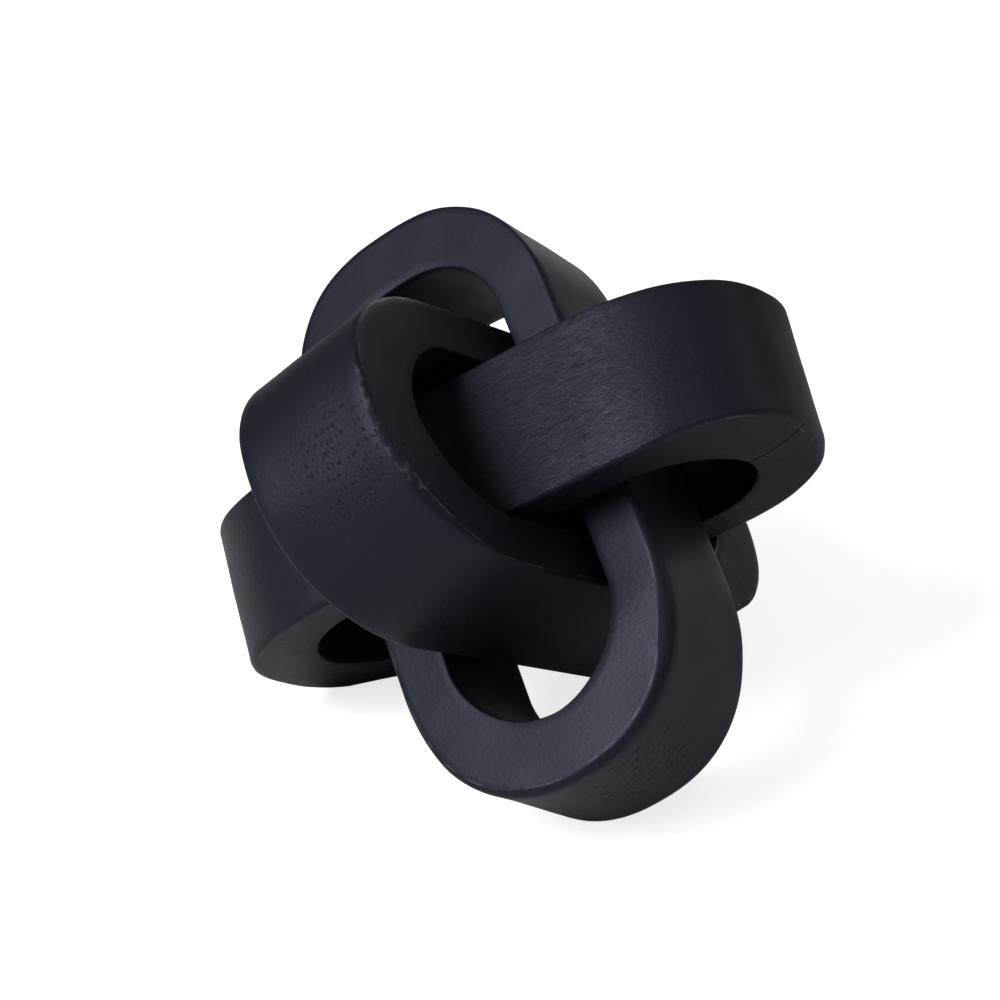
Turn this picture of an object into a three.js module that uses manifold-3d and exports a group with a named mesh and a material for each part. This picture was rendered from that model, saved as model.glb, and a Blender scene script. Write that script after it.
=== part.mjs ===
// A knot ornament of three identical oval links, carved from solid stock and stained black.
// No two links are chained together, yet the three can't come apart: each link's hole holds the
// bars of the next one. The links are loose, and they lean on one another with an end of each
// link on the table, so that the knot stands on three feet.
// Each link is two halves glued across its rounded ends, with a hidden dowel in each glue joint.
// Units are millimetres, +Z is up and the table is z = 0.

import * as THREE from "three";
import { mergeVertices } from "three/addons/utils/BufferGeometryUtils.js";
import Module from "manifold-3d";

const wasm = await Module();
wasm.setup();

// The link, as a carver would mark it out on a block
const LINK_LENGTH = 160;
const HOLE_WIDTH = 46;
const SIDE_WALL = 14;
const END_WALL = 17;
// The room, on each side, between a link's band and the hole that it passes through
const PLAY = 4.2;
// How far each rounded end runs along the link, and its fullness: 2 is an ellipse, more is squarer
const OUTER_END_REACH = 43;
const OUTER_END_FULLNESS = 2.2;
const HOLE_END_REACH = 23.4;
const HOLE_END_FULLNESS = 1.84;
const OUTER_EDGE_RADIUS = 1.7;
const INNER_EDGE_RADIUS = 1.0;

// The glue joints
const SEAM_GAP = 0.3;
const DOWEL_RADIUS = 4;
const DOWEL_LENGTH = 24;
const DOWEL_CLEARANCE = 0.3;
const DOWEL_CHAMFER = 0.8;

// How the loose links lie against the level one: lean in degrees and shift about the knot's axes
const FRONT_LEAN = { x: -0.2, y: -3.3, z: 6.5 };
const UPRIGHT_LEAN = { x: -4.9, y: 1.7, z: 6.7 };
const FRONT_SHIFT = { x: 1.5, y: -1.0, z: 0.3 };
const UPRIGHT_SHIFT = { x: 0.1, y: -1.7, z: -0.2 };
// The flats that sanding leaves where the knot stands, and the knot's turn about the vertical
const FOOT_FLAT_DEPTH = 0.6;
const TURN = 0;

// How finely the curves are divided
const ARC_STEPS = 18;
const SIDE_STEPS = 5;
const EDGE_STEPS = 3;
const DOWEL_SIDES = 16;
const SETTLE_STEPS = 12;
const REACH = 4 * LINK_LENGTH;

const HALF_LENGTH = LINK_LENGTH / 2;
const HOLE_HALF_WIDTH = HOLE_WIDTH / 2;
const HALF_WIDTH = HOLE_HALF_WIDTH + SIDE_WALL;
const HOLE_HALF_LENGTH = HALF_LENGTH - END_WALL;
const BAND_HALF = HOLE_HALF_WIDTH - PLAY;
const OUTER_CENTRE = HALF_LENGTH - OUTER_END_REACH;
const HOLE_CENTRE = HOLE_HALF_LENGTH - HOLE_END_REACH;

const radians = THREE.MathUtils.degToRad;

const stain = new THREE.MeshStandardMaterial({
  name: "black_stained_wood",
  color: new THREE.Color(0.028, 0.029, 0.035),
  roughness: 0.55,
  metalness: 0,
});
const rawWood = new THREE.MeshStandardMaterial({
  name: "dowel_wood",
  color: new THREE.Color(0.55, 0.38, 0.22),
  roughness: 0.8,
  metalness: 0,
});

// Solids: a closed grid of rings, a three.js geometry to a solid, and back
function gridSolid(rings) {
  const count = rings[0].length;
  const vertProperties = [];
  for (const ring of rings) {
    for (const point of ring) vertProperties.push(...point);
  }
  const triVerts = [];
  for (let i = 0; i < rings.length; i++) {
    const here = i * count;
    const next = ((i + 1) % rings.length) * count;
    for (let j = 0; j < count; j++) {
      const k = (j + 1) % count;
      triVerts.push(here + j, next + j, next + k, here + j, next + k, here + k);
    }
  }
  return solidOf(vertProperties, triVerts);
}

function solidOf(vertProperties, triVerts) {
  return new wasm.Manifold(new wasm.Mesh({
    numProp: 3,
    vertProperties: Float32Array.from(vertProperties),
    triVerts: Uint32Array.from(triVerts),
  }));
}

function solidFromGeometry(geometry) {
  geometry.deleteAttribute("normal");
  geometry.deleteAttribute("uv");
  const merged = mergeVertices(geometry, 1e-4);
  return solidOf(merged.attributes.position.array, merged.index.array);
}

function geometryFromSolid(solid) {
  const mesh = solid.getMesh();
  const geometry = new THREE.BufferGeometry();
  geometry.setAttribute("position", new THREE.BufferAttribute(mesh.vertProperties, 3));
  geometry.setIndex(new THREE.BufferAttribute(mesh.triVerts, 1));
  geometry.computeVertexNormals();
  return geometry;
}

// A link in its own frame: its length along X, its width along Y and its band's width along Z
function endPoint(angle, reach, halfWidth, fullness) {
  const along = Math.abs(Math.cos(angle)) ** (2 / fullness) * Math.sign(Math.cos(angle));
  const across = Math.abs(Math.sin(angle)) ** (2 / fullness) * Math.sign(Math.sin(angle));
  return new THREE.Vector2(reach * along, halfWidth * across);
}

function sectionAt(angle, side) {
  const outer = endPoint(angle, OUTER_END_REACH, HALF_WIDTH, OUTER_END_FULLNESS);
  const inner = endPoint(angle, HOLE_END_REACH, HOLE_HALF_WIDTH, HOLE_END_FULLNESS);
  outer.x += side * OUTER_CENTRE;
  inner.x += side * HOLE_CENTRE;
  const wall = outer.clone().sub(inner);
  const thickness = wall.length();
  const outward = wall.normalize();
  const corners = [
    [thickness - OUTER_EDGE_RADIUS, BAND_HALF - OUTER_EDGE_RADIUS, OUTER_EDGE_RADIUS, 0],
    [INNER_EDGE_RADIUS, BAND_HALF - INNER_EDGE_RADIUS, INNER_EDGE_RADIUS, 90],
    [INNER_EDGE_RADIUS, INNER_EDGE_RADIUS - BAND_HALF, INNER_EDGE_RADIUS, 180],
    [thickness - OUTER_EDGE_RADIUS, OUTER_EDGE_RADIUS - BAND_HALF, OUTER_EDGE_RADIUS, 270],
  ];
  const points = [];
  for (const [across, up, radius, start] of corners) {
    for (let step = 0; step <= EDGE_STEPS; step++) {
      const turn = radians(start + (90 * step) / EDGE_STEPS);
      const out = across + radius * Math.cos(turn);
      points.push([
        inner.x + outward.x * out,
        inner.y + outward.y * out,
        up + radius * Math.sin(turn),
      ]);
    }
  }
  return points;
}

function linkSolid() {
  const sections = [];
  for (let step = 0; step <= 2 * ARC_STEPS; step++) {
    sections.push(sectionAt(radians(-90 + (90 * step) / ARC_STEPS), 1));
  }
  for (let step = 1; step < SIDE_STEPS; step++) {
    sections.push(sectionAt(radians(90), 1 - (2 * step) / SIDE_STEPS));
  }
  for (let step = 0; step <= 2 * ARC_STEPS; step++) {
    sections.push(sectionAt(radians(90 + (90 * step) / ARC_STEPS), -1));
  }
  for (let step = 1; step < SIDE_STEPS; step++) {
    sections.push(sectionAt(radians(-90), -1 + (2 * step) / SIDE_STEPS));
  }
  return gridSolid(sections);
}

// The dowels sit in the middle of the end walls, square to the glue joint
function dowelPlaces() {
  const along = HALF_LENGTH - END_WALL / 2;
  return [1, -1].map((end) => new THREE.Matrix4().makeTranslation(end * along, 0, 0));
}

function dowelGeometry(radius, length, chamfer) {
  const half = length / 2;
  const profile = [
    new THREE.Vector2(0, -half),
    new THREE.Vector2(radius - chamfer, -half),
    new THREE.Vector2(radius, -half + chamfer),
    new THREE.Vector2(radius, half - chamfer),
    new THREE.Vector2(radius - chamfer, half),
    new THREE.Vector2(0, half),
  ];
  return new THREE.LatheGeometry(profile, DOWEL_SIDES);
}

// One side of the saw cut: 1 is the half towards +Y and -1 the half towards -Y
function halfSpace(side) {
  const block = new THREE.BoxGeometry(REACH, REACH, REACH);
  block.translate(0, side * (REACH / 2 + SEAM_GAP / 2), 0);
  return solidFromGeometry(block);
}

const wholeLink = linkSolid();
const drilled = dowelPlaces().reduce((solid, place) => {
  const hole = dowelGeometry(
    DOWEL_RADIUS + DOWEL_CLEARANCE,
    DOWEL_LENGTH + 2 * DOWEL_CLEARANCE,
    DOWEL_CHAMFER,
  );
  hole.applyMatrix4(place);
  return solid.subtract(solidFromGeometry(hole));
}, wholeLink);

// The knot's own axes are X for the level link's length, Y for the upright link's and Z for the
// front link's. Each link's frame is turned onto them by its length, width and band directions.
const X = new THREE.Vector3(1, 0, 0);
const Y = new THREE.Vector3(0, 1, 0);
const Z = new THREE.Vector3(0, 0, 1);
const LINKS = [
  {
    name: "level_link",
    axes: [X, Z.clone().negate(), Y],
    halves: { 1: "lower_half", "-1": "upper_half" },
    ends: ["right", "left"],
    lean: { x: 0, y: 0, z: 0 },
    shift: { x: 0, y: 0, z: 0 },
  },
  {
    name: "front_link",
    axes: [Z, Y.clone().negate(), X],
    halves: { 1: "lower_half", "-1": "upper_half" },
    ends: ["front", "back"],
    lean: FRONT_LEAN,
    shift: FRONT_SHIFT,
  },
  {
    name: "upright_link",
    axes: [Y, X.clone().negate(), Z],
    halves: { 1: "lower_half", "-1": "upper_half" },
    ends: ["top", "bottom"],
    lean: UPRIGHT_LEAN,
    shift: UPRIGHT_SHIFT,
  },
];

function linkMatrix({ axes, lean, shift }) {
  const turned = new THREE.Matrix4().makeBasis(...axes);
  const leaning = new THREE.Matrix4().makeRotationFromEuler(
    new THREE.Euler(radians(lean.x), radians(lean.y), radians(lean.z)),
  );
  return new THREE.Matrix4()
    .makeTranslation(shift.x, shift.y, shift.z)
    .multiply(leaning)
    .multiply(turned);
}

// The highest or lowest point of a link, in the knot's axes
function lowestPoint(matrix, up) {
  const positions = wholeLink.getMesh().vertProperties;
  const lowest = new THREE.Vector3();
  const point = new THREE.Vector3();
  let height = Infinity;
  for (let i = 0; i < positions.length; i += 3) {
    point.fromArray(positions, i).applyMatrix4(matrix);
    if (point.dot(up) < height) {
      height = point.dot(up);
      lowest.copy(point);
    }
  }
  return lowest;
}

// Sets the knot down: the table is the plane that one end of each link touches
function tableFor(matrices) {
  const up = new THREE.Vector3(1, 1, 1).normalize();
  const table = new THREE.Plane();
  for (let step = 0; step < SETTLE_STEPS; step++) {
    const feet = matrices.map((matrix) => lowestPoint(matrix, up));
    table.setFromCoplanarPoints(...feet);
    if (table.normal.dot(up) < 0) table.negate();
    up.copy(table.normal);
  }
  return table;
}

function standingMatrix(matrices) {
  const table = tableFor(matrices);
  const upright = new THREE.Matrix4().makeRotationFromQuaternion(
    new THREE.Quaternion().setFromUnitVectors(table.normal, Z),
  );
  const raised = new THREE.Matrix4().makeTranslation(0, 0, table.constant - FOOT_FLAT_DEPTH);
  const turned = new THREE.Matrix4().makeRotationZ(radians(TURN));
  return turned.multiply(raised).multiply(upright);
}

// The middle of the standing knot's outline, seen from above
function planCentre(matrices, standing) {
  const positions = wholeLink.getMesh().vertProperties;
  const box = new THREE.Box3();
  for (const matrix of matrices) {
    const placed = standing.clone().multiply(matrix);
    for (let i = 0; i < positions.length; i += 3) {
      box.expandByPoint(new THREE.Vector3().fromArray(positions, i).applyMatrix4(placed));
    }
  }
  return box.getCenter(new THREE.Vector3());
}

const matrices = LINKS.map(linkMatrix);
const standing = standingMatrix(matrices);
const centre = planCentre(matrices, standing);
standing.premultiply(new THREE.Matrix4().makeTranslation(-centre.x, -centre.y, 0));

// What lies below the table is sanded off, which leaves a small flat on each foot
function belowTable(linkToWorld) {
  const block = new THREE.BoxGeometry(REACH, REACH, REACH);
  block.translate(0, 0, -REACH / 2);
  block.applyMatrix4(linkToWorld.clone().invert());
  return solidFromGeometry(block);
}

function placeGroup(group, matrix) {
  matrix.decompose(group.position, group.quaternion, group.scale);
  return group;
}

const knot = placeGroup(new THREE.Group(), standing);
for (const link of LINKS) {
  const matrix = linkMatrix(link);
  const group = placeGroup(new THREE.Group(), matrix);
  const sanded = drilled.subtract(belowTable(standing.clone().multiply(matrix)));
  for (const side of [1, -1]) {
    const half = new THREE.Mesh(geometryFromSolid(sanded.intersect(halfSpace(side))), stain);
    half.name = `${link.name}_${link.halves[side]}`;
    group.add(half);
  }
  dowelPlaces().forEach((place, index) => {
    const dowel = new THREE.Mesh(
      mergeVertices(dowelGeometry(DOWEL_RADIUS, DOWEL_LENGTH, DOWEL_CHAMFER)),
      rawWood,
    );
    dowel.name = `${link.name}_${link.ends[index]}_dowel`;
    placeGroup(dowel, place);
    group.add(dowel);
  });
  knot.add(group);
}

const sculpture = new THREE.Group();
sculpture.add(knot);
export default sculpture;
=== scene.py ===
import math

import bpy
from mathutils import Euler, Matrix, Vector


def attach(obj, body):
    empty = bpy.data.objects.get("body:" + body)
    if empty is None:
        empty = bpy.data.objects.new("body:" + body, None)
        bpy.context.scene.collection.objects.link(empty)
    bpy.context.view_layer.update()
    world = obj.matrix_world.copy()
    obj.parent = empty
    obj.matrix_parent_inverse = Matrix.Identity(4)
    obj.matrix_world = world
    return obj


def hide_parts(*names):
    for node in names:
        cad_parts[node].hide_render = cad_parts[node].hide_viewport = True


bl_info = {
    "name": "Oval link knot",
    "version": (1, 0, 0),
    "blender": (4, 5, 0),
    "location": "3D View > Sidebar > Knot",
    "description": "Builds a knot of three loose oval links in black-stained wood",
    "category": "Object",
}

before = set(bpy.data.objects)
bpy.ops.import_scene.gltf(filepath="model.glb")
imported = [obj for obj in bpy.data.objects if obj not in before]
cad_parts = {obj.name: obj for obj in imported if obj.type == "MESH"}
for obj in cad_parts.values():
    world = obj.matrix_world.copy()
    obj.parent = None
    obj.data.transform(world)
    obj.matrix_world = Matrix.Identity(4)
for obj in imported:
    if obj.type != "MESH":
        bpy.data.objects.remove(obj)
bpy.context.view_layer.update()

MM = 0.001
# Where each link lies: its middle in mm, and the turn in degrees that takes its own axes, length
# along X, width along Y and band along Z, onto the row's
PLACES = {
    "level": ((0.0, 1.173, 62.262), (-42.405, -32.17, -14.494)),
    "front": ((1.281, -0.083, 62.607), (-41.32, -32.78, -133.568)),
    "upright": ((0.549, 0.0, 61.139), (-42.151, -30.673, 107.731)),
}
# Stretches of rim that were taken down further: which face, the middle and half the reach in
# degrees round the link, and how many times the usual ease
EASED_ZONES = {
    "level": ((-1, 12, 22, 3.4), (-1, -165, 35, 2.6)),
    "front": ((1, 8, 24, 2.8),),
    "upright": ((1, -155, 50, 3.2), (1, 10, 35, 2.6)),
}
# Faces that were sanded down to a slope towards the rim: which face, the middle and half the
# reach in degrees, and how many mm at the rim
SLOPES = {
    "level": ((-1, -8, 27, 3.4),),
    "front": (),
    "upright": (),
}
# The links are cut by hand, so their ends differ: each outline's shift across the link and cut
# at the end in mm, and its squareness (2 is an ellipse), at the +X end and at the -X end
OUTER_ENDS = {
    "level": ((0.3, 1.3, 2.36), (0.5, 0.5, 2.28)),
    "front": ((0.0, 0.0, 2.2), (0.0, 0.0, 2.2)),
    "upright": ((1.1, 1.0, 2.42), (0.0, 0.1, 2.28)),
}
HOLE_ENDS = {
    "level": ((0.0, 0.9, 1.84), (0.0, 0.0, 1.84)),
    "front": ((0.0, 1.2, 1.84), (0.0, 0.0, 1.84)),
    "upright": ((2.5, 1.6, 2.7), (0.0, 0.0, 1.84)),
}
# Ends cut out of square: which face, which end, and how far that face's outline lies along and
# across from the other's there, in mm
LEANING_ENDS = {"level": (1, 1, 1.2, 0.0), "upright": (1, 1, 0.0, 1.6)}
# Rims left without the pale rim paint, so they stay dark, and rims painted pale across their
# whole ease, as wear and a painted glint: which face, the middle and half the reach in degrees
DARK_RIMS = {"upright": (1, 0, 90)}
WEAR_AND_GLINT_RIMS = {"front": (1, 5, 13)}
# How each link's grain shows: how strong its streaks are, the relief of the lumps left by sanding
# and of its pores, where the wood is coarsest and most open, a middle and a reach in mm, the
# heart of the tree about which its rings run in mm, and how many pores to the metre, all in the
# link's own axes
GRAIN = {
    "level": (1.6, 0.55, 0.1, (30, -37, 2), 46, (0, -45, -85), (190, 1800, 1800)),
    "front": (0.4, 0.38, 1.35, (79, 8, 5), 19, (0, -100, 10), (1500, 520, 1500)),
    "upright": (0.3, 0.27, 1.7, (-79, -7, 1), 20, (0, -30, -100), (1300, 330, 1300)),
}
# The stain fills the glue joints, except where one has opened: the face and the end where it
# shows, and its width in mm
OPEN_JOINTS = {"level": (-1, 1, 0.9)}
# How far short of the link's end an opened joint stops, and how near the middle plane a point
# has to be to lie on the joint, both in metres
JOINT_STOP = 0.0022
ON_JOINT = 1.5e-4
# How finely a link is divided: round its outlines, across its faces and across its bands
CIRCLE_SIDES = 160
FACE_CUTS = 5
BAND_CUTS = 14
# The material slot that tells the eased rims' faces from the rest while a link is made
EASED_SLOT = 1
# Corners bent by more than the first angle are eased, and those bent by less than the second are
# shaded smooth
SHARP_ANGLE = math.radians(50)
SMOOTH_ANGLE = math.radians(28)
RIM_SEGMENTS = 4
RIM_PROFILE = 0.42
# The waver of the eased rims as waves round the link: share of the width, number round the link,
# and how far the face's side and a fixed start turn each, in radians
RIM_WAVES = ((0.2, 7, 1, 0), (0.2, 17, 2, 0), (0.2, 27, 0, 3), (0.12, 43, 1, 0))
# How much faster a sanded slope falls near the rim: 1 is an even slope
SLOPE_POWER = 1.5
# The spacing of the swells that hand sanding leaves, in metres
SWELL_SPACING = 0.022
# Shares of the band: an edge longer than the first runs across it, and a point farther than the
# second from its middle lies on a face
CROSSING_SHARE = 0.3
FACE_SHARE = 0.35
# A polygon is part of a flat face where its normal's share along the band is more than this
FLAT_NORMAL = 0.7
# How strongly a zone must work on a rim to keep it dark, or to paint wear and a painted glint
# across its ease
DARK_FROM = 0.15
WEAR_AND_GLINT_FROM = 0.1
# How fine each pattern of the grain is to the metre, along, across and through the link
PATTERN_STRETCH = {
    "Fibre stretch": (240, 1900, 1900),
    "Band stretch": (5, 90, 60),
    "Smudge size": (22, 22, 22),
    "Patch size": (30, 55, 55),
    # The next pattern places the pale rim paint, which is partly wear and partly painted
    # highlight
    "Rub size": (200, 200, 200),
    "Mottle size": (680, 700, 700),
}
# Each pattern's detail and roughness
PATTERN_DETAIL = {
    "Fibres": (4.0, 0.6),
    "Growth bands": (3.0, 0.5),
    "Pores": (1.0, 0.5),
    "Smudges": (3.0, 0.55),
    "Patches": (2.0, 0.5),
    "Wear and glint places": (2.0, 0.6),
    "Mottling": (4.0, 0.65),
}
# Where each pattern begins to show and where it shows in full
PATTERN_RAMPS = {
    "Fibre strength": (0.42, 0.66),
    "Band strength": (0.35, 0.7),
    "Pore edge": (0.56, 0.69),
    "Pore rows": (0.25, 0.75),
    "Smudge strength": (0.35, 0.7),
    "Patch strength": (0.42, 0.62),
    "Thin line": (0.72, 0.95),
    # The next ramp sets how fully the pale rim paint, partly a painted highlight, shows
    "Wear and glint strength": (0.49, 0.62),
}
RING_SETTINGS = {"Scale": 115.0, "Distortion": 4.0, "Detail": 1.0, "Detail Scale": 0.4}
# How near the middle of the open place the wood is fully open, in metres, how open the patches
# elsewhere are, and how much of the coarseness is kept to the open place
OPEN_MIDDLE = 0.007
PATCH_OPENNESS = 0.03
COARSE_SHARE = 0.75
# How strongly the patterns change the colour
FIBRE_TINT = 0.14
BAND_TINT = 0.25
PORE_TINT = 0.36
# The rims' paler colour is partly rubbed wear and partly a painted highlight
RIM_WEAR_AND_HIGHLIGHT_TINT = 0.75
RIM_WEAR_AND_HIGHLIGHT_COLOUR = (0.085, 0.09, 0.105, 1)
# How far the patterns change the roughness
SMUDGE_ROUGHNESS = 0.12
PORE_ROUGHNESS = 0.3
RUB_ROUGHNESS = -0.1
FIBRE_GLOSS = {"From Min": 0.35, "From Max": 0.65, "To Min": -0.09, "To Max": 0.09}
RELIEF_STRENGTH = 0.8
RELIEF_DEPTH = 0.00025
SHEEN = 0.30
SHEEN_TINT = (0.72, 0.76, 1.0, 1.0)
# The floor reaches past what is seen, and it glows more with distance from the knot
FLOOR_SIZE = 6
FLOOR_COLOUR = (0.72, 0.72, 0.72, 1)
FLOOR_ROUGHNESS = 0.9
FLOOR_GLOW = {"From Min": 0.35, "From Max": 1.1, "To Min": 0.76, "To Max": 1.0}
BACKDROP_LIGHT = 0.08
# Lamps: azimuth in degrees from the camera's side, height in degrees above the knot's middle,
# and the setting that holds the power
LAMPS = (
    ("main", -60, 42, "main_power"),
    ("back", 168, 15, "back_power"),
    ("top", 30, 60, "top_power"),
    ("low_left", -30, 10, "low_power"),
    ("low_right", 60, 28, "low_power"),
    ("right", 105, 30, "right_power"),
)
LAMP_AIM = (0, 0, 0.06)
LAMP_DISTANCE = 1.2
LAMP_SIZE = 0.6
# The camera's place in mm, and its own right and forward directions
CAMERA_PLACE = (-5.0, -522.4, 351.54)
CAMERA_RIGHT = (0.9988, -0.0263, -0.0416)
CAMERA_FORWARD = (0.0029, 0.8750, -0.4841)
CAMERA_LENS = 86.95
CAMERA_SENSOR = 36


# Properties
class LinkSizes(bpy.types.PropertyGroup):
    length: bpy.props.FloatProperty(
        name="Link length", description="Length of one oval link", default=0.160, unit="LENGTH")
    hole_width: bpy.props.FloatProperty(
        name="Hole width", description="Width of the link's hole", default=0.046, unit="LENGTH")
    side_wall: bpy.props.FloatProperty(
        name="Side wall", description="Wood at each side of the hole", default=0.014,
        unit="LENGTH")
    end_wall: bpy.props.FloatProperty(
        name="End wall", description="Wood at each end of the hole", default=0.017,
        unit="LENGTH")
    band: bpy.props.FloatProperty(
        name="Band width", description="Thickness of the link through its hole",
        default=0.0376, unit="LENGTH")
    end_reach: bpy.props.FloatProperty(
        name="End reach", description="How far each rounded end runs along the link",
        default=0.043, unit="LENGTH")
    hole_reach: bpy.props.FloatProperty(
        name="Hole end reach", description="How far each end of the hole runs along it",
        default=0.0234, unit="LENGTH")
    outer_edge: bpy.props.FloatProperty(
        name="Outer edge", description="Width of the eased outer edges", default=0.0008,
        unit="LENGTH")
    inner_edge: bpy.props.FloatProperty(
        name="Inner edge", description="Width of the eased edges of the hole", default=0.0005,
        unit="LENGTH")
    unevenness: bpy.props.FloatProperty(
        name="Unevenness", description="How far hand sanding strays from the true form",
        default=0.0006, unit="LENGTH")


class WoodFinish(bpy.types.PropertyGroup):
    stain: bpy.props.FloatVectorProperty(
        name="Stain", description="Colour of the dark wood", default=(0.0064, 0.0068, 0.0125),
        subtype="COLOR", size=3)
    fibre: bpy.props.FloatVectorProperty(
        name="Fibre", description="Colour of the fibres that take less stain",
        default=(0.0128, 0.0137, 0.0215), subtype="COLOR", size=3)
    pore: bpy.props.FloatVectorProperty(
        name="Pore", description="Colour inside the open pores", default=(0.0022, 0.0022, 0.0030),
        subtype="COLOR", size=3)
    roughness: bpy.props.FloatProperty(
        name="Roughness", description="Roughness of the stained surface", default=0.40,
        min=0.0, max=1.0, subtype="FACTOR")


class RawWood(bpy.types.PropertyGroup):
    stain: bpy.props.FloatVectorProperty(
        name="Ground", description="Colour of the raw wood", default=(0.50, 0.34, 0.20),
        subtype="COLOR", size=3)
    fibre: bpy.props.FloatVectorProperty(
        name="Fibre", description="Colour of its lighter fibres", default=(0.60, 0.43, 0.27),
        subtype="COLOR", size=3)
    pore: bpy.props.FloatVectorProperty(
        name="Pore", description="Colour inside its pores", default=(0.34, 0.21, 0.11),
        subtype="COLOR", size=3)
    roughness: bpy.props.FloatProperty(
        name="Roughness", description="Roughness of the raw wood", default=0.7, min=0.0,
        max=1.0, subtype="FACTOR")


class StageSettings(bpy.types.PropertyGroup):
    main_power: bpy.props.FloatProperty(
        name="Main lamp", description="Power of the soft main lamp at the left", default=13.2,
        subtype="POWER", unit="POWER")
    back_power: bpy.props.FloatProperty(
        name="Back lamp", description="Power of the low lamp behind", default=2.3,
        subtype="POWER", unit="POWER")
    top_power: bpy.props.FloatProperty(
        name="Top lamp", description="Power of the lamp above", default=1.3,
        subtype="POWER", unit="POWER")
    right_power: bpy.props.FloatProperty(
        name="Right lamp", description="Power of the soft lamp at the right", default=0.9,
        subtype="POWER", unit="POWER")
    low_power: bpy.props.FloatProperty(
        name="Low lamps", description="Power of each low lamp in front", default=0.45,
        subtype="POWER", unit="POWER")


# Small helpers
def deselect_all():
    if bpy.context.object and bpy.context.object.mode != "OBJECT":
        bpy.ops.object.mode_set(mode="OBJECT")
    bpy.ops.object.select_all(action="DESELECT")


def make_active(piece):
    deselect_all()
    piece.select_set(True)
    bpy.context.view_layer.objects.active = piece


def select_verts(piece, test):
    bpy.ops.object.mode_set(mode="OBJECT")
    for face in piece.data.polygons:
        face.select = False
    for edge in piece.data.edges:
        edge.select = False
    for vert in piece.data.vertices:
        vert.select = test(vert.co)
    bpy.ops.object.mode_set(mode="EDIT")


def select_edges(piece, test):
    bpy.ops.object.mode_set(mode="EDIT")
    bpy.ops.mesh.select_mode(type="EDGE")
    bpy.ops.mesh.select_all(action="DESELECT")
    bpy.ops.object.mode_set(mode="OBJECT")
    points = piece.data.vertices
    for edge in piece.data.edges:
        edge.select = test(points[edge.vertices[0]].co, points[edge.vertices[1]].co)
    bpy.ops.object.mode_set(mode="EDIT")


# One link, whole, in its own axes
def oval_outline(name, half_length, half_width, reach, ends):
    bpy.ops.mesh.primitive_circle_add(
        vertices=CIRCLE_SIDES, radius=1.0, location=(0, 0, 0), fill_type="NOTHING")
    outline = bpy.context.object
    outline.name = name
    for vert in outline.data.vertices:
        shift, cut, fullness = ends[0] if vert.co.x > 0 else ends[1]
        power = 2 / fullness
        along = math.copysign(abs(vert.co.x) ** power * (reach - cut * MM), vert.co.x)
        across = math.copysign(abs(vert.co.y) ** power * half_width, vert.co.y)
        vert.co = (along, across + shift * MM * abs(vert.co.x), 0)
    for side in (1, -1):
        select_verts(outline, lambda co: co.x * side > 1e-6)
        bpy.ops.transform.translate(value=(side * (half_length - reach), 0, 0))
    bpy.ops.object.mode_set(mode="OBJECT")
    return outline


def whole_link(key, sizes):
    deselect_all()
    half_length = sizes.length / 2
    hole_half = sizes.hole_width / 2
    outer = oval_outline(f"{key}_whole", half_length, hole_half + sizes.side_wall,
                         sizes.end_reach, OUTER_ENDS[key])
    deselect_all()
    inner = oval_outline("link_hole", half_length - sizes.end_wall, hole_half,
                         sizes.hole_reach, HOLE_ENDS[key])
    deselect_all()
    inner.select_set(True)
    outer.select_set(True)
    bpy.context.view_layer.objects.active = outer
    bpy.ops.object.join()
    link = outer
    bpy.ops.object.mode_set(mode="EDIT")
    bpy.ops.mesh.select_all(action="SELECT")
    bpy.ops.mesh.bridge_edge_loops(number_cuts=FACE_CUTS, interpolation="LINEAR")
    bpy.ops.mesh.select_all(action="SELECT")
    bpy.ops.transform.translate(value=(0, 0, -sizes.band / 2))
    bpy.ops.mesh.extrude_region_move(TRANSFORM_OT_translate={"value": (0, 0, sizes.band)})
    bpy.ops.mesh.select_all(action="SELECT")
    bpy.ops.mesh.normals_make_consistent(inside=False)
    bpy.ops.object.mode_set(mode="OBJECT")
    lean_end(link, sizes, LEANING_ENDS.get(key))
    sand_slopes(link, sizes, SLOPES[key])
    ease_edges(link, sizes, EASED_ZONES[key])
    mark_rims(link, sizes, DARK_RIMS.get(key), WEAR_AND_GLINT_RIMS.get(key))
    cut_bands(link, sizes)
    sand_by_hand(link, sizes)
    return link


def lean_end(link, sizes, lean):
    if not lean:
        return
    face, end, along, across = lean
    start = sizes.length / 2 - sizes.end_reach
    for vert in link.data.vertices:
        if vert.co.z * face > 0 and vert.co.x * end > start:
            share = (vert.co.x * end - start) / sizes.end_reach
            vert.co.x += end * along * MM * share
            vert.co.y += across * MM * share


# How far a point lies from the line between the middles of a link's rounded ends
def off_core(co, sizes):
    core = sizes.length / 2 - sizes.hole_width / 2 - sizes.side_wall
    return math.hypot(max(abs(co.x) - core, 0.0), co.y)


# The distance from that line that lies halfway across the wall: the hole's rims are nearer and
# the outer rims are farther
def wall_middle(sizes):
    return (sizes.hole_width + sizes.side_wall) / 2


# How strongly a zone works on a point, from 0 at its ends to 1 in its middle
def in_zone(co, face, side, centre, reach):
    turn = (math.degrees(math.atan2(co.y, co.x)) - centre + 180) % 360 - 180
    if side != face or abs(turn) >= reach:
        return 0.0
    return math.cos(math.radians(90 * turn / reach))


def sand_slopes(link, sizes, slopes):
    hole = sizes.hole_width / 2
    rim = hole + sizes.side_wall
    for vert in link.data.vertices:
        face = 1 if vert.co.z > 0 else -1
        out = min(max((off_core(vert.co, sizes) - hole) / (rim - hole), 0.0), 1.0)
        for side, centre, reach, depth in slopes:
            strength = in_zone(vert.co, face, side, centre, reach)
            vert.co.z -= face * depth * MM * strength * out ** SLOPE_POWER


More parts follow.
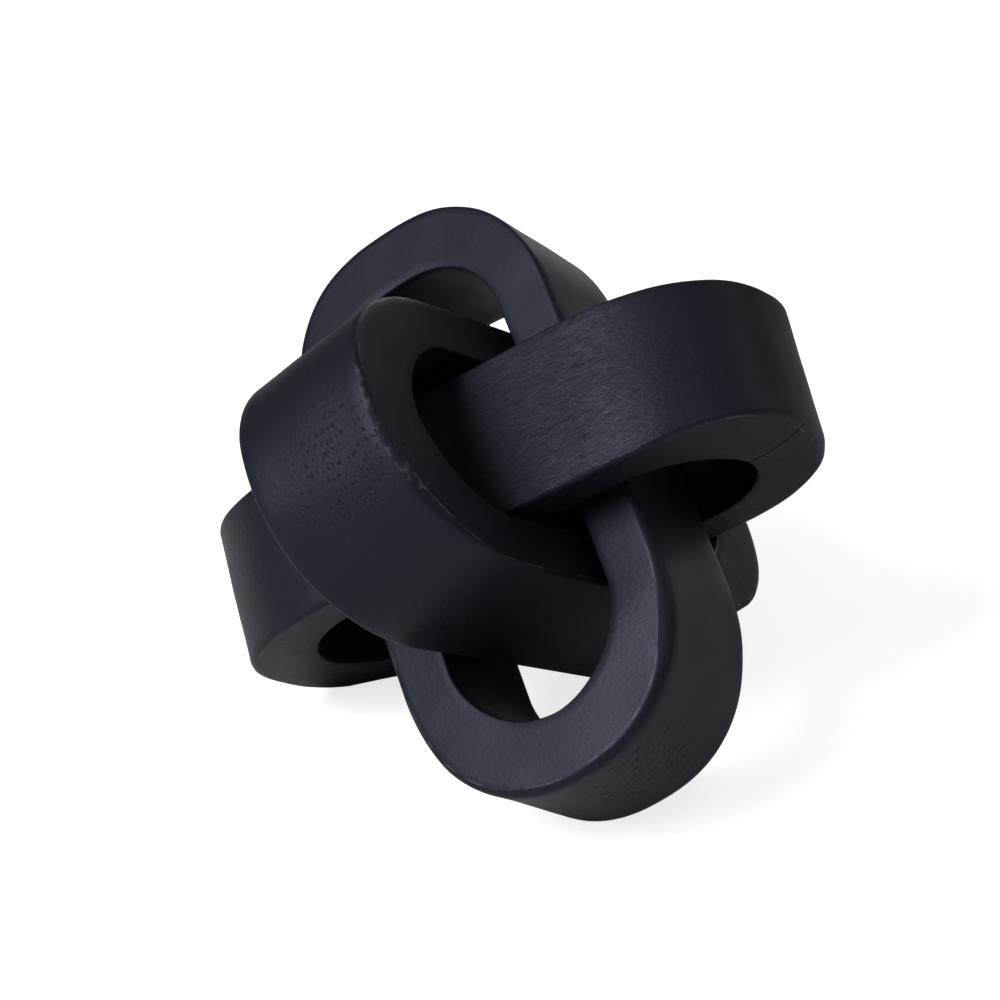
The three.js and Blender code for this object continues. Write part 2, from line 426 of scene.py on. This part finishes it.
# The rims are eased by hand, so the ease changes in width round the link
def ease_edges(link, sizes, zones):
    between = wall_middle(sizes)

    def weight(co):
        angle = math.atan2(co.y, co.x)
        face = 1 if co.z > 0 else -1
        width = 1 + sum(share * math.sin(count * angle + turn * face + start)
                        for share, count, turn, start in RIM_WAVES)
        if off_core(co, sizes) < between:
            return sizes.inner_edge * width
        for side, centre, reach, times in zones:
            width *= 1 + (times - 1) * in_zone(co, face, side, centre, reach)
        return sizes.outer_edge * width

    make_active(link)
    bpy.ops.object.mode_set(mode="EDIT")
    bpy.ops.mesh.select_mode(type="EDGE")
    bpy.ops.mesh.select_all(action="DESELECT")
    bpy.ops.mesh.edges_select_sharp(sharpness=SHARP_ANGLE)
    bpy.ops.object.mode_set(mode="OBJECT")
    points = link.data.vertices
    widths = []
    for edge in link.data.edges:
        a, b = (points[k].co for k in edge.vertices)
        widths.append(weight((a + b) / 2) if edge.select else 0.0)
    widest = max(widths)
    layer = link.data.attributes.new("bevel_weight_edge", "FLOAT", "EDGE")
    layer.data.foreach_set("value", [w / widest for w in widths])
    bevel = link.modifiers.new("eased_rims", "BEVEL")
    bevel.limit_method = "WEIGHT"
    bevel.width = widest
    bevel.segments = RIM_SEGMENTS
    bevel.profile = RIM_PROFILE
    bevel.use_clamp_overlap = False
    for _ in range(EASED_SLOT + 1):
        link.data.materials.append(None)
    bevel.material = EASED_SLOT
    bpy.ops.object.modifier_apply(modifier=bevel.name)


# Cuts across the bands, so that they can be sanded uneven
def cut_bands(link, sizes):
    clear = sizes.band * CROSSING_SHARE
    select_edges(link, lambda a, b: abs(a.z - b.z) > clear)
    bpy.ops.mesh.subdivide(number_cuts=BAND_CUTS)
    bpy.ops.object.mode_set(mode="OBJECT")


def sand_by_hand(link, sizes):
    clouds = bpy.data.textures.new(f"{link.name}_sanding", "CLOUDS")
    clouds.noise_scale = SWELL_SPACING
    clouds.noise_depth = 1
    waves = link.modifiers.new("hand_sanding", "DISPLACE")
    waves.texture = clouds
    waves.texture_coords = "LOCAL"
    waves.strength = sizes.unevenness
    waves.mid_level = 0.5
    make_active(link)
    bpy.ops.object.modifier_apply(modifier=waves.name)


# Cuts a piece through the origin, keeps the side that the direction points to and closes the cut
def keep_side(piece, direction):
    make_active(piece)
    bpy.ops.object.mode_set(mode="EDIT")
    bpy.ops.mesh.select_all(action="SELECT")
    bpy.ops.mesh.bisect(
        plane_co=(0, 0, 0), plane_no=direction, use_fill=True, clear_inner=True)
    bpy.ops.object.mode_set(mode="OBJECT")


# Halves of a link: a copy is cut at the glue joint, and an open joint gets a groove
def cut_half(link, name, side, open_joint, sizes):
    make_active(link)
    bpy.ops.object.duplicate()
    half = bpy.context.object
    half.name = name
    half.data.name = name
    keep_side(half, (0, side, 0))
    if open_joint:
        press_groove(half, side, open_joint, sizes)
    return half


# Each half has one slope of the groove: from a cut beside the joint down to the joint itself
def press_groove(half, side, open_joint, sizes):
    face, end, width = open_joint
    slope = width * MM / 2
    bpy.ops.object.mode_set(mode="EDIT")
    bpy.ops.mesh.select_all(action="SELECT")
    bpy.ops.mesh.bisect(plane_co=(0, side * slope, 0), plane_no=(0, 1, 0))
    bpy.ops.object.mode_set(mode="OBJECT")
    stop = sizes.length / 2 - JOINT_STOP
    for vert in half.data.vertices:
        on_joint = abs(vert.co.y) < ON_JOINT and vert.co.z * face > sizes.band * FACE_SHARE
        if on_joint and 0 < vert.co.x * end < stop:
            vert.co.z -= face * slope


# The line where each flat face meets its eased outer rim is marked on the mesh, so that the
# finish is painted paler along it, partly as rubbed wear and partly as a painted highlight,
# except on dark rims; on the glint rim the whole ease is marked, for a painted glint
def mark_rims(link, sizes, dark, wear_and_glint):
    flat = set()
    eased = set()
    band = set()
    for face in link.data.polygons:
        if face.material_index == EASED_SLOT:
            eased.update(face.vertices)
        elif abs(face.normal.z) > FLAT_NORMAL:
            flat.update(face.vertices)
        else:
            band.update(face.vertices)
    between = wall_middle(sizes)
    values = []
    for vert in link.data.vertices:
        co = vert.co
        face = 1 if co.z > 0 else -1
        outer = vert.index in eased and off_core(co, sizes) > between
        value = 1.0 if outer and vert.index in flat else 0.0
        if value and dark and in_zone(co, face, *dark) > DARK_FROM:
            value = 0.0
        beside = outer and vert.index not in band
        if beside and wear_and_glint and in_zone(co, face, *wear_and_glint) > WEAR_AND_GLINT_FROM:
            value = 1.0
        values.append(value)
    marks = link.data.attributes.new("rim", "FLOAT", "POINT")
    marks.data.foreach_set("value", values)


def put_in_place(piece, place):
    middle, turn = place
    spin = Euler([math.radians(t) for t in turn], "XYZ").to_matrix().to_4x4()
    make_active(piece)
    piece.matrix_world = Matrix.Translation(Vector(middle) * MM) @ spin
    bpy.ops.object.transform_apply(location=True, rotation=True, scale=True)


def shade(piece):
    make_active(piece)
    bpy.ops.object.shade_smooth_by_angle(angle=SMOOTH_ANGLE)


# Materials
def add_node(tree, kind, place, **values):
    node = tree.nodes.new(kind)
    node.location = place
    for key, value in values.items():
        setattr(node, key, value)
    return node


def grain_group():
    group = bpy.data.node_groups.new("Open-pored grain", "ShaderNodeTree")
    side = group.interface
    for name, kind, value in (
        ("Vector", "NodeSocketVector", None),
        ("Stain", "NodeSocketColor", (0.03, 0.03, 0.04, 1)),
        ("Fibre", "NodeSocketColor", (0.06, 0.06, 0.07, 1)),
        ("Pore", "NodeSocketColor", (0.01, 0.01, 0.01, 1)),
        ("Roughness", "NodeSocketFloat", 0.5),
        ("Rim", "NodeSocketFloat", 0.0),
        ("Streaks", "NodeSocketFloat", 0.5),
        ("Lumps", "NodeSocketFloat", 1.0),
        ("Pore depth", "NodeSocketFloat", 1.0),
        ("Open place", "NodeSocketVector", None),
        ("Open reach", "NodeSocketFloat", 0.02),
        ("Heart", "NodeSocketVector", None),
        ("Pore stretch", "NodeSocketVector", None),
    ):
        socket = side.new_socket(name=name, in_out="INPUT", socket_type=kind)
        if value is not None:
            socket.default_value = value
    for name, kind in (
        ("Color", "NodeSocketColor"), ("Roughness", "NodeSocketFloat"),
        ("Height", "NodeSocketFloat"),
    ):
        side.new_socket(name=name, in_out="OUTPUT", socket_type=kind)
    start = add_node(group, "NodeGroupInput", (-1200, 0))
    end = add_node(group, "NodeGroupOutput", (900, 0))
    link = group.links.new

    def stretched(label, place):
        node = add_node(group, "ShaderNodeVectorMath", place, operation="MULTIPLY", label=label)
        if label in PATTERN_STRETCH:
            node.inputs[1].default_value = PATTERN_STRETCH[label]
        else:
            link(start.outputs[label], node.inputs[1])
        link(start.outputs["Vector"], node.inputs[0])
        return node.outputs[0]

    def noise(vector, place, label):
        node = add_node(group, "ShaderNodeTexNoise", place, label=label)
        detail, rough = PATTERN_DETAIL[label]
        node.inputs["Scale"].default_value = 1.0
        node.inputs["Detail"].default_value = detail
        node.inputs["Roughness"].default_value = rough
        link(vector, node.inputs["Vector"])
        return node.outputs[0]

    def ramp(source, place, label):
        node = add_node(group, "ShaderNodeMapRange", place, label=label)
        low, high = PATTERN_RAMPS[label]
        node.inputs["From Min"].default_value = low
        node.inputs["From Max"].default_value = high
        link(source, node.inputs["Value"])
        return node.outputs[0]

    def combined(operation, a, b, place):
        node = add_node(group, "ShaderNodeMath", place, operation=operation)
        for i, part in enumerate((a, b)):
            if isinstance(part, float):
                node.inputs[i].default_value = part
            else:
                link(part, node.inputs[i])
        return node.outputs[0]

    def product(a, b, place):
        return combined("MULTIPLY", a, b, place)

    def total(a, b, place):
        return combined("ADD", a, b, place)

    def blend(factor, under, over, place):
        node = add_node(group, "ShaderNodeMix", place, data_type="RGBA")
        link(factor, node.inputs["Factor"])
        link(under, node.inputs[6])
        if isinstance(over, tuple):
            node.inputs[7].default_value = over
        else:
            link(over, node.inputs[7])
        return node.outputs[2]

    # Fibres: fine streaks along the length
    fine = noise(stretched("Fibre stretch", (-1000, 300)), (-800, 300), "Fibres")
    fibres = ramp(fine, (-600, 300), "Fibre strength")
    # Growth bands: broad, slow changes along the length
    broad = noise(stretched("Band stretch", (-1000, 0)), (-800, 0), "Growth bands")
    bands = ramp(broad, (-600, 0), "Band strength")
    # Pores: short open grooves
    speck = noise(stretched("Pore stretch", (-1000, -300)), (-800, -300), "Pores")
    edged = ramp(speck, (-600, -300), "Pore edge")
    # Growth rings about the heart of the tree, along which the pores lie in rows
    heart = add_node(group, "ShaderNodeVectorMath", (-1000, -450), operation="SUBTRACT")
    link(start.outputs["Vector"], heart.inputs[0])
    link(start.outputs["Heart"], heart.inputs[1])
    rings = add_node(group, "ShaderNodeTexWave", (-800, -450), wave_type="RINGS",
                     rings_direction="X", label="Growth rings")
    for name, value in RING_SETTINGS.items():
        rings.inputs[name].default_value = value
    link(heart.outputs[0], rings.inputs["Vector"])
    rows = ramp(rings.outputs["Fac"], (-600, -450), "Pore rows")
    # Smudges: uneven stain and handling
    cloud = noise(stretched("Smudge size", (-1000, -600)), (-800, -600), "Smudges")
    smudges = ramp(cloud, (-600, -600), "Smudge strength")
    # Pores open up in some patches of the wood and are nearly filled in others
    drift = noise(stretched("Patch size", (-1000, -900)), (-800, -900), "Patches")
    patches = ramp(drift, (-600, -900), "Patch strength")
    away = add_node(group, "ShaderNodeVectorMath", (-1000, -1700), operation="DISTANCE")
    link(start.outputs["Vector"], away.inputs[0])
    link(start.outputs["Open place"], away.inputs[1])
    near = add_node(group, "ShaderNodeMapRange", (-800, -1700), label="Widest open",
                    interpolation_type="SMOOTHSTEP")
    link(away.outputs["Value"], near.inputs["Value"])
    link(start.outputs["Open reach"], near.inputs["From Min"])
    near.inputs["From Max"].default_value = OPEN_MIDDLE
    opened = total(near.outputs[0], product(patches, PATCH_OPENNESS, (-600, -1050)),
                   (-500, -1050))
    coarse = total(product(near.outputs[0], COARSE_SHARE, (-600, -1150)), 1 - COARSE_SHARE,
                   (-500, -1150))
    pores = product(product(edged, opened, (-450, -300)), rows, (-350, -300))
    # Colour: fibres and growth bands take less stain, pores hold more
    light = product(fibres, FIBRE_TINT, (-400, 300))
    lighter = total(light, product(bands, BAND_TINT, (-400, 100)), (-200, 200))
    mixed = blend(lighter, start.outputs["Stain"], start.outputs["Fibre"], (0, 200))
    grooves = product(pores, start.outputs["Pore depth"], (-400, -200))
    pored = blend(product(grooves, PORE_TINT, (100, 0)), mixed, start.outputs["Pore"],
                  (250, 150))
    # Rims: rubbed thin in places, so a little glossier, and painted paler there, partly as wear
    # and partly as a painted highlight
    chance = noise(stretched("Rub size", (-1000, -1500)), (-800, -1500), "Wear and glint places")
    wear_and_glint_mask = product(ramp(start.outputs["Rim"], (-200, -900), "Thin line"),
                     ramp(chance, (-600, -1500), "Wear and glint strength"), (0, -900))
    wear_and_glint = blend(product(wear_and_glint_mask, RIM_WEAR_AND_HIGHLIGHT_TINT, (250, -700)), pored, RIM_WEAR_AND_HIGHLIGHT_COLOUR, (450, 150))
    link(wear_and_glint, end.inputs["Color"])

    rough = total(start.outputs["Roughness"],
                  product(smudges, SMUDGE_ROUGHNESS, (-400, -600)), (-200, -500))
    rougher = total(rough, product(pores, PORE_ROUGHNESS, (-200, -350)), (0, -450))
    smooth = total(rougher, product(wear_and_glint_mask, RUB_ROUGHNESS, (250, -550)), (450, -450))
    # Where the wood is coarse, the gloss changes from fibre to fibre
    streaks = product(coarse, start.outputs["Streaks"], (-550, -100))
    uneven = add_node(group, "ShaderNodeMapRange", (-600, 500), label="Fibre gloss")
    for name, value in FIBRE_GLOSS.items():
        uneven.inputs[name].default_value = value
    link(fine, uneven.inputs["Value"])
    glossy = total(smooth, product(uneven.outputs[0], streaks, (450, -600)), (600, -450))
    link(glossy, end.inputs["Roughness"])

    relief = total(product(fine, streaks, (-400, -100)), product(grooves, -1.0, (-250, -200)),
                   (0, -150))
    # Mottling: the surface stays slightly lumpy from sanding and stain
    lumps = noise(stretched("Mottle size", (-1000, -1200)), (-800, -1200), "Mottling")
    lumpy = total(relief, product(lumps, start.outputs["Lumps"], (-400, -1200)), (200, -250))
    link(lumpy, end.inputs["Height"])
    return group


def wood_material(name, key, finish, group):
    material = bpy.data.materials.new(name)
    material.use_nodes = True
    tree = material.node_tree
    shader = tree.nodes["Principled BSDF"]
    where = add_node(tree, "ShaderNodeTexCoord", (-1000, 0))
    turned = add_node(tree, "ShaderNodeMapping", (-800, 0))
    middle, turn = PLACES[key]
    spin = Euler([math.radians(t) for t in turn], "XYZ").to_matrix().transposed()
    turned.inputs["Rotation"].default_value = spin.to_euler("XYZ")
    turned.inputs["Location"].default_value = -(spin @ (Vector(middle) * MM))
    grain = add_node(tree, "ShaderNodeGroup", (-550, 0), node_tree=group)
    grain.inputs["Stain"].default_value = (*finish.stain, 1)
    grain.inputs["Fibre"].default_value = (*finish.fibre, 1)
    grain.inputs["Pore"].default_value = (*finish.pore, 1)
    grain.inputs["Roughness"].default_value = finish.roughness
    streaks, lumps, depth, place, reach, heart, stretch = GRAIN[key]
    grain.inputs["Streaks"].default_value = streaks
    grain.inputs["Lumps"].default_value = lumps
    grain.inputs["Pore depth"].default_value = depth
    grain.inputs["Open place"].default_value = Vector(place) * MM
    grain.inputs["Open reach"].default_value = reach * MM
    grain.inputs["Heart"].default_value = Vector(heart) * MM
    grain.inputs["Pore stretch"].default_value = stretch
    bump = add_node(tree, "ShaderNodeBump", (-250, -250))
    bump.inputs["Strength"].default_value = RELIEF_STRENGTH
    bump.inputs["Distance"].default_value = RELIEF_DEPTH
    link = tree.links.new
    rim = add_node(tree, "ShaderNodeAttribute", (-800, -350), attribute_name="rim")
    link(rim.outputs["Fac"], grain.inputs["Rim"])
    link(where.outputs["Object"], turned.inputs["Vector"])
    link(turned.outputs["Vector"], grain.inputs["Vector"])
    link(grain.outputs["Color"], shader.inputs["Base Color"])
    link(grain.outputs["Roughness"], shader.inputs["Roughness"])
    link(grain.outputs["Height"], bump.inputs["Height"])
    link(bump.outputs["Normal"], shader.inputs["Normal"])
    shader.inputs["Specular IOR Level"].default_value = SHEEN
    shader.inputs["Specular Tint"].default_value = SHEEN_TINT
    return material


def set_material(piece, material):
    piece.data.materials.clear()
    piece.data.materials.append(material)
    for face in piece.data.polygons:
        face.material_index = 0


def shared_grain():
    return bpy.data.node_groups.get("Open-pored grain") or grain_group()


# Operators
class KNOT_OT_links(bpy.types.Operator):
    """Builds the three links, each as two glued halves"""
    bl_idname = "knot.links"
    bl_label = "Build the links"

    def execute(self, context):
        scene = context.scene
        group = shared_grain()
        for key, place in PLACES.items():
            link = whole_link(key, scene.knot_sizes)
            material = wood_material(f"{key}_stained_wood", key, scene.knot_finish, group)
            for side, word in ((1, "lower"), (-1, "upper")):
                half = cut_half(link, f"{key}_{word}", side, OPEN_JOINTS.get(key),
                                scene.knot_sizes)
                put_in_place(half, place)
                if word == "lower":
                    # The knot stands on a small flat under each lower half
                    keep_side(half, (0, 0, 1))
                shade(half)
                set_material(half, material)
                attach(half, f"{key}_link")
                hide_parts(f"{key}_link_{word}_half")
            bpy.data.objects.remove(link)
        return {"FINISHED"}


class KNOT_OT_dowels(bpy.types.Operator):
    """Gives the hidden dowels their raw wood"""
    bl_idname = "knot.dowels"
    bl_label = "Finish the dowels"

    def execute(self, context):
        group = shared_grain()
        for key in PLACES:
            material = wood_material(f"{key}_dowel_wood", key, context.scene.knot_raw, group)
            for name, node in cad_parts.items():
                if name.startswith(key) and name.endswith("_dowel"):
                    set_material(node, material)
        return {"FINISHED"}


class KNOT_OT_stage(bpy.types.Operator):
    """Adds the pale floor, the lamps and the camera"""
    bl_idname = "knot.stage"
    bl_label = "Set the stage"

    def execute(self, context):
        settings = context.scene.knot_stage
        add_floor()
        add_world(context.scene)
        for name, azimuth, height, power in LAMPS:
            add_lamp(name, azimuth, height, getattr(settings, power))
        add_camera(context.scene)
        context.scene.view_settings.view_transform = "Standard"
        return {"FINISHED"}


def add_floor():
    deselect_all()
    bpy.ops.mesh.primitive_plane_add(size=FLOOR_SIZE, location=(0, 0, 0))
    floor = bpy.context.object
    floor.name = "floor"
    material = bpy.data.materials.new("pale_floor")
    material.use_nodes = True
    tree = material.node_tree
    shader = tree.nodes["Principled BSDF"]
    shader.inputs["Base Color"].default_value = FLOOR_COLOUR
    shader.inputs["Roughness"].default_value = FLOOR_ROUGHNESS
    shader.inputs["Specular IOR Level"].default_value = 0.0
    glow = add_node(tree, "ShaderNodeEmission", (0, -300))
    # Far from the knot, where the lamps don't reach, the floor is as white as the backdrop
    place = add_node(tree, "ShaderNodeTexCoord", (-900, -500))
    away = add_node(tree, "ShaderNodeVectorMath", (-700, -500), operation="LENGTH")
    fade = add_node(tree, "ShaderNodeMapRange", (-450, -500))
    for name, value in FLOOR_GLOW.items():
        fade.inputs[name].default_value = value
    link = tree.links.new
    link(place.outputs["Object"], away.inputs[0])
    link(away.outputs["Value"], fade.inputs["Value"])
    link(fade.outputs[0], glow.inputs["Strength"])
    path = add_node(tree, "ShaderNodeLightPath", (-400, -300))
    seen = add_node(tree, "ShaderNodeMixShader", (250, -300))
    dark = add_node(tree, "ShaderNodeEmission", (0, -450))
    dark.inputs["Strength"].default_value = 0.0
    both = add_node(tree, "ShaderNodeAddShader", (450, 0))
    link(path.outputs["Is Camera Ray"], seen.inputs[0])
    link(dark.outputs[0], seen.inputs[1])
    link(glow.outputs[0], seen.inputs[2])
    link(shader.outputs[0], both.inputs[0])
    link(seen.outputs[0], both.inputs[1])
    link(both.outputs[0], tree.nodes["Material Output"].inputs["Surface"])
    set_material(floor, material)


def add_world(scene):
    world = bpy.data.worlds.new("studio")
    scene.world = world
    world.use_nodes = True
    tree = world.node_tree
    tree.nodes.clear()
    out = add_node(tree, "ShaderNodeOutputWorld", (600, 0))
    light = add_node(tree, "ShaderNodeBackground", (0, 100))
    light.inputs["Color"].default_value = (1, 1, 1, 1)
    light.inputs["Strength"].default_value = BACKDROP_LIGHT
    seen = add_node(tree, "ShaderNodeBackground", (0, -100))
    seen.inputs["Color"].default_value = (1, 1, 1, 1)
    seen.inputs["Strength"].default_value = 1.0
    path = add_node(tree, "ShaderNodeLightPath", (-400, 200))
    pick = add_node(tree, "ShaderNodeMixShader", (300, 0))
    tree.links.new(path.outputs["Is Camera Ray"], pick.inputs[0])
    tree.links.new(light.outputs[0], pick.inputs[1])
    tree.links.new(seen.outputs[0], pick.inputs[2])
    tree.links.new(pick.outputs[0], out.inputs[0])


# A square lamp aimed at the knot
def add_lamp(name, azimuth, height, power):
    middle = Vector(LAMP_AIM)
    place = Vector((0, -LAMP_DISTANCE, 0))
    place.rotate(Euler((math.radians(-height), 0, 0)))
    place.rotate(Euler((0, 0, math.radians(azimuth))))
    deselect_all()
    bpy.ops.object.light_add(type="AREA", location=middle + place)
    lamp = bpy.context.object
    lamp.name = f"{name}_lamp"
    lamp.data.size = LAMP_SIZE
    lamp.data.energy = power
    lamp.rotation_euler = (-place).to_track_quat("-Z", "Y").to_euler()


def add_camera(scene):
    right = Vector(CAMERA_RIGHT)
    forward = Vector(CAMERA_FORWARD).normalized()
    right = (right - forward * right.dot(forward)).normalized()
    up = right.cross(forward)
    turn = Matrix((right, up, -forward)).transposed()
    deselect_all()
    bpy.ops.object.camera_add(location=Vector(CAMERA_PLACE) * MM)
    camera = bpy.context.object
    camera.name = "camera"
    camera.rotation_euler = turn.to_euler()
    camera.data.lens = CAMERA_LENS
    camera.data.sensor_width = CAMERA_SENSOR
    scene.camera = camera


class KNOT_PT_panel(bpy.types.Panel):
    """Lists the knot's building steps"""
    bl_label = "Oval link knot"
    bl_idname = "KNOT_PT_panel"
    bl_space_type = "VIEW_3D"
    bl_region_type = "UI"
    bl_category = "Knot"

    def draw(self, context):
        layout = self.layout
        for settings in ("knot_sizes", "knot_finish", "knot_raw", "knot_stage"):
            group = getattr(context.scene, settings)
            box = layout.box()
            for key in group.__annotations__:
                box.prop(group, key)
        for name in ("knot.links", "knot.dowels", "knot.stage"):
            layout.operator(name)


CLASSES = (LinkSizes, WoodFinish, RawWood, StageSettings, KNOT_OT_links, KNOT_OT_dowels,
           KNOT_OT_stage, KNOT_PT_panel)


def register():
    for entry in CLASSES:
        bpy.utils.register_class(entry)
    scene = bpy.types.Scene
    scene.knot_sizes = bpy.props.PointerProperty(type=LinkSizes)
    scene.knot_finish = bpy.props.PointerProperty(type=WoodFinish)
    scene.knot_raw = bpy.props.PointerProperty(type=RawWood)
    scene.knot_stage = bpy.props.PointerProperty(type=StageSettings)


def unregister():
    for name in ("knot_sizes", "knot_finish", "knot_raw", "knot_stage"):
        delattr(bpy.types.Scene, name)
    for entry in reversed(CLASSES):
        bpy.utils.unregister_class(entry)


def main():
    register()
    bpy.ops.knot.links()
    bpy.ops.knot.dowels()
    bpy.ops.knot.stage()


if __name__ == "__main__":
    main()
